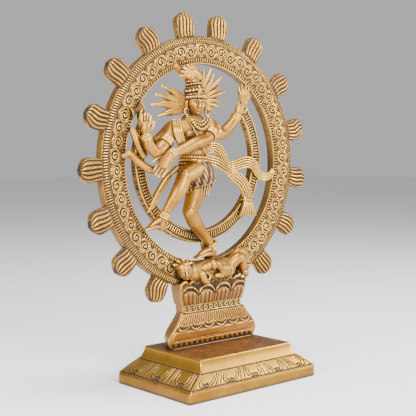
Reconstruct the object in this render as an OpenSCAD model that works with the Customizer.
// Dancing figure in a ring of flames, on a lotus pedestal and a stepped base.
// Millimetres. Origin: middle of the underside. +Z up, -Y towards the viewer, +X to the right.

/* [Base] */
// Width of the slab
slab_w = 106; // [100:1:112]
// Depth of the slab
slab_d = 69; // [66:1:74]
// Height of the slab's plain edge
slab_h = 7.2; // [6:0.2:9]
// Width of the step where it meets the sloped border
step_w = 80; // [76:1:86]
// Depth of the step where it meets the sloped border
step_d = 57.5; // [54:0.5:62]
// Height at which the step starts
step_z = 15.7; // [14:0.1:17]
// Height of the base's top
base_h = 22.6; // [21:0.1:25]
// Thickness of the base casting
base_wall = 4; // [3:0.5:5]
// How far the base stands to the right of the ring's middle
base_x = 1.4; // [-2:0.1:6]

/* [Pedestal] */
// How far the pedestal stands to the right of the ring's middle
ped_x = 2; // [-2:0.1:6]
// Front of the pedestal
ped_front = 2.5; // [0:0.5:5]
// Half width of the foot at its widest
foot_hw = 37.5; // [34:0.5:37.5]
// Height at which the foot ends and the waist starts
waist_z = 44; // [42:0.5:46]
// Height at which the upper lotus starts
cup_z = 48.5; // [47:0.5:50]
// Height of the upper lotus's top
cup_top = 62; // [60:0.5:64]
// Half width of the waist
waist_hw = 25; // [22:0.5:27]
// Half width of the upper lotus's top
cup_hw = 28.4; // [26:0.2:30]

/* [Ring] */
// Height of the ring's middle
ring_z = 136.5; // [134:0.5:139]
// Outer radius of the ring
ring_ro = 79.3; // [77:0.1:82]
// Inner radius of the ring
ring_ri = 62; // [60:0.5:64]
// Thickness of the ring
ring_t = 8.5; // [7:0.5:10]
// Front of the ring
ring_front = 9; // [7:0.5:11]
// How far the figure stands to the right of where the ring's middle puts it
figure_x = -4; // [-4.5:0.1:-3]
// Number of flames on the left
flames_left = 8; // [6:1:8]
// Number of flames on the right
flames_right = 7; // [6:1:7]
// How far a flame stands out of the ring
flame_len = 15; // [12:0.5:17]
// Width of a flame
flame_w = 13.6; // [11:0.2:15]

/* [Hoop] */
// Height of the hoop's middle
hoop_z = 138.5; // [136:0.5:140]
// Outer radius of the hoop
hoop_ro = 52.2; // [50:0.2:54]
// Width of the hoop's face
hoop_w = 7.8; // [6:0.2:9]
// Thickness of the hoop
hoop_t = 5; // [4:0.5:6]

/* [Hidden] */
ring_back = ring_front + ring_t;
ring_mid = ring_front + ring_t / 2;
hoop_x = -2.8;
hoop_front = ring_front + 1.5;
socket = [7, 4, 3.2];
screw_at = [ped_x - 17, ped_x + 17];
screw_y = 10.5;
left_start = 10.7;
left_step = 20.4;
right_start = 8;
right_step = 22.3;
left_tilts = [for (i = [0:flames_left - 1]) left_start + left_step * i];
right_tilts = [for (i = [0:flames_right - 1]) -(right_start + right_step * i)];
$fn = 48;

// ---- helpers -------------------------------------------------------------------------

// A straight tapered bar from point a to point b.
module bar(a, b, ra, rb) {
    d = b - a;
    translate(a) rotate([0, acos(d.z / norm(d)), atan2(d.y, d.x)])
        cylinder(h = norm(d), r1 = ra, r2 = rb);
}

// A chain of tapered bars with a ball at every point; each point is [x, y, z, radius].
module limb(p) {
    for (i = [0:len(p) - 2])
        bar([p[i].x, p[i].y, p[i].z], [p[i + 1].x, p[i + 1].y, p[i + 1].z], p[i][3], p[i + 1][3]);
    for (q = p) translate([q.x, q.y, q.z]) sphere(r = q[3] * 1.12);
}

// An outline drawn in x and z, as deep as y0 to y1.
module slab_xz(y0, y1) {
    translate([0, y1, 0]) rotate([90, 0, 0]) linear_extrude(y1 - y0) children();
}

// An outline drawn in y and z, as wide as x0 to x1.
module slab_yz(x0, x1) {
    translate([x0, 0, 0]) rotate([90, 0, 90]) linear_extrude(x1 - x0) children();
}

// Half outline mirrored about the z axis: a list of [half width, z] from bottom to top.
function both_sides(h) = concat([for (p = h) [p[0], p[1]]],
    [for (i = [len(h) - 1:-1:0]) [-h[i][0], h[i][1]]]);

// The base's half outline for a slab and step of the given half sizes.
function base_half(slab, step) = concat(
    [[slab, 0], [slab, slab_h], [step, step_z]],
    [for (i = [1:5]) [step - 2 * sin(i * 18), step_z + (base_h - step_z) * i / 5]]);

// Turns a shape that points up from the ring's middle to its place round the ring.
module round_ring(tilt) {
    translate([0, 0, ring_z]) rotate([0, -tilt, 0]) children();
}

// ---- base ----------------------------------------------------------------------------

module base_solid(grow, z0, z1) {
    intersection() {
        slab_xz(-slab_d, slab_d) translate([base_x, 0]) polygon(
            both_sides([for (p = base_half(slab_w / 2, step_w / 2)) [p[0] + grow, p[1]]]));
        slab_yz(-slab_w, slab_w) polygon(
            both_sides([for (p = base_half(slab_d / 2, step_d / 2)) [p[0] + grow, p[1]]]));
        translate([-slab_w, -slab_d, z0]) cube([2 * slab_w, 2 * slab_d, z1 - z0]);
    }
}

module base_plinth() {
    color("goldenrod") difference() {
        base_solid(0, 0, base_h);
        base_solid(-base_wall, -1, base_h - base_wall);
        for (x = screw_at) translate([x, screw_y, 0]) cylinder(h = base_h + 1, r = 2.2);
    }
}

module base_screws() {
    color("dimgray") for (x = screw_at) translate([x, screw_y, 0]) {
        translate([0, 0, base_h - base_wall - 0.8]) cylinder(h = base_wall + 10.8, r = 2);
        difference() {
            translate([0, 0, base_h - base_wall - 3.3]) cylinder(h = 2.5, r = 3.5);
            translate([-4, -0.5, base_h - base_wall - 3.4]) cube([8, 1, 1.2]);
        }
    }
}

module screw_washers() {
    color("silver") for (x = screw_at) translate([x, screw_y, base_h - base_wall - 0.8])
        difference() {
            cylinder(h = 0.8, r = 4.5);
            translate([0, 0, -0.1]) cylinder(h = 1, r = 2.1);
        }
}

// ---- pedestal ------------------------------------------------------------------------

// A pedestal tier: half widths by height, and front edge by height, on the ring's flat back.
module tier(half, front) {
    intersection() {
        slab_xz(ped_front - 10, ring_back) translate([ped_x, 0]) polygon(both_sides(half));
        slab_yz(-60, 60) polygon(concat([for (p = front) [ped_front + p[0], p[1]]],
            [[ring_back, front[len(front) - 1][1]], [ring_back, front[0][1]]]));
    }
}

module pedestal_foot() {
    foot = [for (i = [0:6]) [foot_hw - 2.5 * pow((i - 1.5) / 1.5, 2) * (i < 2 ? 1 : 0)
        - (i < 2 ? 0 : (foot_hw - waist_hw - 2) * (1 - cos((i - 1.5) * 20)) * 0.98),
        base_h + (waist_z - base_h) * i / 6]];
    rise = [for (i = [0:6]) [1.5 * sin(i * 18) + (i == 0 ? 1 : 0), foot[i][1]]];
    color("darkgoldenrod") difference() {
        tier(foot, rise);
        for (x = screw_at) translate([x, screw_y, base_h - 1]) cylinder(h = 12, r = 2.02);
    }
}

module pedestal_waist() {
    color("goldenrod") tier(
        [[waist_hw + 1, waist_z], [waist_hw, waist_z + 0.8], [waist_hw, cup_z - 0.6],
            [waist_hw + 0.6, cup_z]],
        [[2, waist_z], [2.4, cup_z]]);
}

module upper_lotus() {
    cup = [for (i = [0:5]) [waist_hw + (cup_hw - waist_hw) * sin(i * 18),
        cup_z + (cup_top - cup_z) * i / 5]];
    lip = [for (i = [0:5]) [2.4 - 2.4 * sin(i * 18), cup[i][1]]];
    color("goldenrod") difference() {
        tier(cup, lip);
        translate([0, ring_front, ring_z]) rotate([-90, 0, 0]) cylinder(h = 20, r = ring_ro, $fn = 90);
    }
}

// ---- dwarf on the lotus --------------------------------------------------------------

module dwarf_body() {
    color("goldenrod") difference() {
        union() {
            limb([[-8, 5.6, 69, 6], [4, 5.6, 69.5, 6.6], [18, 5.8, 69, 6.3]]);
            translate([ped_x - figure_x - cup_hw + 1, 3.5, cup_top])
                cube([2 * cup_hw - 2, ring_front - 3.5, 5]);
        }
        translate([-60, ring_front, 50]) cube([120, 30, 40]);
        translate([-60, -20, 50]) cube([120, 60, cup_top - 50]);
    }
}

module dwarf_head() {
    color("goldenrod") difference() {
        union() {
            translate([-16, 3.6, 69.5]) sphere(r = 6.4);
            bar([-16, 5, 69], [-9, 5.6, 69], 4, 4.5);
        }
        translate([-60, ring_front, 50]) cube([120, 30, 40]);
        translate([-60, -20, 50]) cube([120, 60, cup_top - 50]);
    }
}

module dwarf_arms() {
    color("goldenrod") {
        bar([-5, 1.4, 72], [7, -0.2, 74.4], 2.4, 2.1);
        bar([6.4, -0.2, 75.6], [5, -0.4, 65.6], 2.3, 1.7);
    }
}

module dwarf_legs() {
    color("goldenrod") {
        limb([[19, 3, 70, 3.6], [28, 3, 75, 3.2], [31.5, 4, 67, 2.4], [33.5, 3, 64.2, 2]]);
        limb([[22, 6, 71, 3], [31, 6.5, 80, 2.8], [36.5, 6.5, 73.5, 2.2]]);
    }
}

// ---- ring and flames -----------------------------------------------------------------

// The ring's section: plain wall, outer bevel, raised face, inner bevel, plain wall.
module ring_section() {
    polygon([[ring_ri, 0], [ring_ro, 0], [ring_ro, ring_t - 1.4], [ring_ro - 3.7, ring_t],
        [ring_ri + 3.2, ring_t - 0.6], [ring_ri, ring_t - 1.6]]);
}

module outer_ring() {
    color("goldenrod") difference() {
        translate([0, ring_back, ring_z]) rotate([90, 0, 0]) rotate_extrude($fn = 120) ring_section();
        for (t = concat(left_tilts, right_tilts)) round_ring(t)
            translate([-socket.x / 2, ring_mid - socket.y / 2, ring_ro - socket.z])
                cube([socket.x, socket.y, socket.z + 2]);
    }
}

// One flame: a rounded tongue whose tenon sits in a socket of the ring.
module flame(tilt) {
    r = flame_w / 2;
    top = ring_ro + flame_len - r;
    color("goldenrod") round_ring(tilt) {
        difference() {
            union() {
                translate([0, ring_back - 0.4, top]) rotate([90, 0, 0])
                    cylinder(h = ring_t - 1.2, r = r);
                translate([-r + 0.6, ring_front + 0.8, ring_ro - 2])
                    cube([flame_w - 1.2, ring_t - 1.2, top - ring_ro + 2]);
            }
            translate([0, ring_back + 1, 0]) rotate([90, 0, 0]) cylinder(h = 12, r = ring_ro, $fn = 120);
        }
        translate([-socket.x / 2 + 0.1, ring_mid - socket.y / 2 + 0.1, ring_ro - socket.z + 0.1])
            cube([socket.x - 0.2, socket.y - 0.2, socket.z + 1]);
    }
}

// ---- hoop and ties -------------------------------------------------------------------

module inner_hoop() {
    color("goldenrod") translate([hoop_x, hoop_front + hoop_t, hoop_z]) rotate([90, 0, 0])
        rotate([0, 0, 148]) rotate_extrude(angle = 254, $fn = 96) polygon([[hoop_ro - hoop_w, 0],
            [hoop_ro, 0], [hoop_ro, hoop_t - 0.8], [hoop_ro - 1.6, hoop_t],
            [hoop_ro - hoop_w + 1.6, hoop_t], [hoop_ro - hoop_w, hoop_t - 0.8]]);
}

// Lug from the back of the topknot up to the ring.
module ring_lug() {
    color("goldenrod") limb([[-14, 9, 190, 2.6], [-20, 11, 196, 2.6]]);
}

// Leaf-shaped tie from the hoop's bottom to the back of the pedestal's dwarf.
module hoop_tie() {
    color("goldenrod") difference() {
        translate([1, hoop_front, 73]) cube([9, 4, 15]);
        translate([hoop_x, 0, hoop_z]) rotate([-90, 0, 0]) cylinder(h = 40, r = hoop_ro, $fn = 96);
    }
}

// ---- figure --------------------------------------------------------------------------

module torso() {
    color("goldenrod") {
        limb([[-10, 7, 142, 8], [-10.6, 6.5, 152, 9.6]]);
        limb([[-26, 7, 158.5, 5], [-11, 6, 156, 8.4], [5, 7, 159.5, 5]]);
        bar([-10.6, 5.5, 158], [-9.8, 4.6, 168], 4.6, 3.9);
    }
}

module head() {
    color("goldenrod") {
        translate([-10, 4, 172]) sphere(r = 7);
        translate([-9.2, 3, 168]) sphere(r = 5);
    }
}

module ear_rings() {
    color("gold") for (x = [-17.5, -2]) translate([x, 3.6, 166.5]) rotate([0, 90, 20])
        rotate_extrude() translate([2.2, 0]) circle(r = 0.9);
}

module crown() {
    color("goldenrod") translate([-10.8, 4.8, 176]) rotate([-4, -8, 0]) rotate_extrude()
        polygon([[0, -1], [7.2, -1], [7.6, 1.5], [6.6, 3], [6.8, 5.5], [5.6, 7], [5.8, 9.5],
            [4.4, 11], [0, 11.6]]);
}

// Locks of hair spread like a fan: a plate whose outline has one rounded tip per lock.
module hair_fan(root, len_0, len_1, a0, a1, n, y0 = 5.5, y1 = 10.5) {
    step = (a1 - a0) / n;
    outline = [for (i = [0:n - 1]) let (a = a0 + step * i, l = len_0 + (len_1 - len_0) * i / (n - 1))
        each [[0.62 * l, a], [l - 1.2, a + 0.3 * step], [l, a + 0.5 * step], [l - 1.2, a + 0.7 * step]]];
    slab_xz(y0, y1) translate(root) polygon(concat([[0, 0]],
        [for (p = outline) [p[0] * cos(p[1]), p[0] * sin(p[1])]],
        [[0.62 * len_1 * cos(a1), 0.62 * len_1 * sin(a1)]]));
}

module topknot() {
    color("goldenrod") hair_fan([-12.5, 184], 12, 11, 50, 130, 4, 3.5, 10);
}

module hair_fan_left() {
    color("goldenrod") hair_fan([-13, 171], 38, 40, 198, 152, 5);
}

module hair_fan_right() {
    color("goldenrod") hair_fan([-5, 171], 30, 22, 4, 72, 6);
}

module front_arm_raised() {
    color("goldenrod") limb([[-25, 6.5, 157.5, 5], [-33, 4, 149, 4.4], [-44.8, 1, 143.4, 4.2],
        [-50.8, 1.6, 154, 3.1], [-51.4, 2, 160, 3.6], [-50.6, 2, 167, 2.4]]);
}

module front_arm_crossing() {
    color("goldenrod") limb([[6, 6, 160, 5.4], [-3.5, 1, 152.2, 4.6], [-18, -2, 148.8, 3.9],
        [-34, -3, 143.4, 3], [-39, -3, 138, 3.7], [-46.6, -2.6, 128.4, 2.2]]);
}

module rear_arm_drum() {
    color("goldenrod") limb([[-24, 10, 158, 4.6], [-38, 12, 147.5, 3.9], [-46, 11.5, 158, 3.2],
        [-49, 11, 164, 3.6]]);
}

module rear_arm_flame() {
    color("goldenrod") {
        bar([5, 9, 160], [19.5, 11, 154.2], 4.8, 4.4);
        translate([19.5, 11, 154.2]) sphere(r = 5.2);
        bar([19.5, 11, 154.2], [35.4, 11.5, 172], 4.2, 2.8);
        translate([35.6, 11.5, 173]) sphere(r = 4.2);
    }
}

module hand_drum() {
    color("goldenrod") {
        bar([-55.5, 10.5, 167.5], [-51.2, 10.5, 169], 4, 2);
        bar([-51.2, 10.5, 169], [-47, 10.5, 170.5], 2, 4);
    }
}

module hand_flame() {
    color("goldenrod") hair_fan([36, 174], 14.5, 12.5, 46, 92, 2, 9.6, 14);
}

module shoulder_scarf() {
    color("goldenrod") limb([[-27, 2.2, 162.5, 2.8], [-28.5, 1.2, 155, 3], [-22.5, 1, 144, 2.2]]);
}

module waist_belt() {
    color("goldenrod") translate([-9.8, 7, 138.5]) rotate([0, 4, 0]) rotate_extrude()
        translate([8.2, 0]) circle(r = 2.4);
}

module dhoti() {
    color("goldenrod") {
        bar([-9.6, 7, 139], [-6.2, 6.5, 127], 9, 11.4);
        bar([-6.2, 6.5, 127], [-7.6, 6.2, 118.5], 10.6, 8.2);
    }
}

module standing_leg() {
    color("goldenrod") {
        bar([-4, 6.5, 128], [-15.4, 3.6, 107], 7, 4.8);
        translate([-15.4, 3.6, 107]) sphere(r = 5.6);
        bar([-15.4, 3.6, 107], [5.4, 6.6, 82], 4.6, 2.8);
        slab_xz(2.6, 8.6) polygon([[11.6, 82.6], [12.2, 77.8], [-16, 76.8], [-15.6, 79.4], [-4, 82.4]]);
    }
}

module raised_leg() {
    color("goldenrod") {
        bar([-3, 5.5, 131], [-22.6, -0.6, 129], 7.4, 5.6);
        translate([-22.6, -0.6, 129]) sphere(r = 6.4);
        bar([-22.6, -0.6, 129], [-36, 2.6, 103], 5.4, 2.9);
        slab_xz(2.2, 7.4) polygon([[-31.6, 103.6], [-32.4, 98.6], [-50, 96], [-50.2, 98.8], [-40, 104.4]]);
    }
}

// Hanging cloth behind the raised thigh, from the belt down to the hoop.
module thigh_cloth() {
    color("goldenrod") slab_xz(8.5, 13) ribbon([[-16, 133.4], [-25, 131], [-32, 120], [-39.5, 108.6]], 6);
}

// The outline of a ribbon through the points [x, z], as wide as w.
module ribbon(p, w) {
    last = len(p) - 1;
    side = [for (i = [0:last]) let (d = p[min(i + 1, last)] - p[max(i - 1, 0)]) [-d.y, d.x] * w / 2 / norm(d)];
    polygon(concat([for (i = [0:last]) p[i] + side[i]], [for (i = [last:-1:0]) p[i] - side[i]]));
}

module sash() {
    color("goldenrod") slab_xz(8.5, 13.5) {
        ribbon([[-4, 144], [6, 144.6], [14, 141], [20, 134.6], [27, 134.4], [34, 136], [42, 135.6],
            [49, 131.4], [54, 127.6], [60, 128], [65, 130]], 5.8);
        ribbon([[19, 136], [26, 130.4], [33, 124], [38.4, 113]], 6);
    }
}

module sash_tassel() {
    color("goldenrod") bar([38, 11.5, 114], [40, 12, 100.5], 3.4, 6.2);
}

module snake() {
    color("goldenrod") slab_xz(4.4, 10)
        ribbon([[-31.6, 139.6], [-38, 136.8], [-44, 136], [-50, 138.2], [-55, 141], [-63, 142]], 5.2);
}

// ---- drawing -------------------------------------------------------------------------

base_plinth();
base_screws();
screw_washers();
pedestal_foot();
pedestal_waist();
upper_lotus();
outer_ring();
for (i = [0:flames_left - 1])
    flame(left_tilts[i]);
for (i = [0:flames_right - 1])
    flame(right_tilts[i]);
inner_hoop();
translate([figure_x, 0, 0]) {
    ring_lug();
    hoop_tie();
    torso();
    head();
    ear_rings();
    crown();
    topknot();
    hair_fan_left();
    hair_fan_right();
    front_arm_raised();
    front_arm_crossing();
    rear_arm_drum();
    rear_arm_flame();
    hand_drum();
    hand_flame();
    shoulder_scarf();
    waist_belt();
    dhoti();
    standing_leg();
    raised_leg();
    thigh_cloth();
    sash();
    sash_tassel();
    snake();
    dwarf_body();
    dwarf_head();
    dwarf_arms();
    dwarf_legs();
}
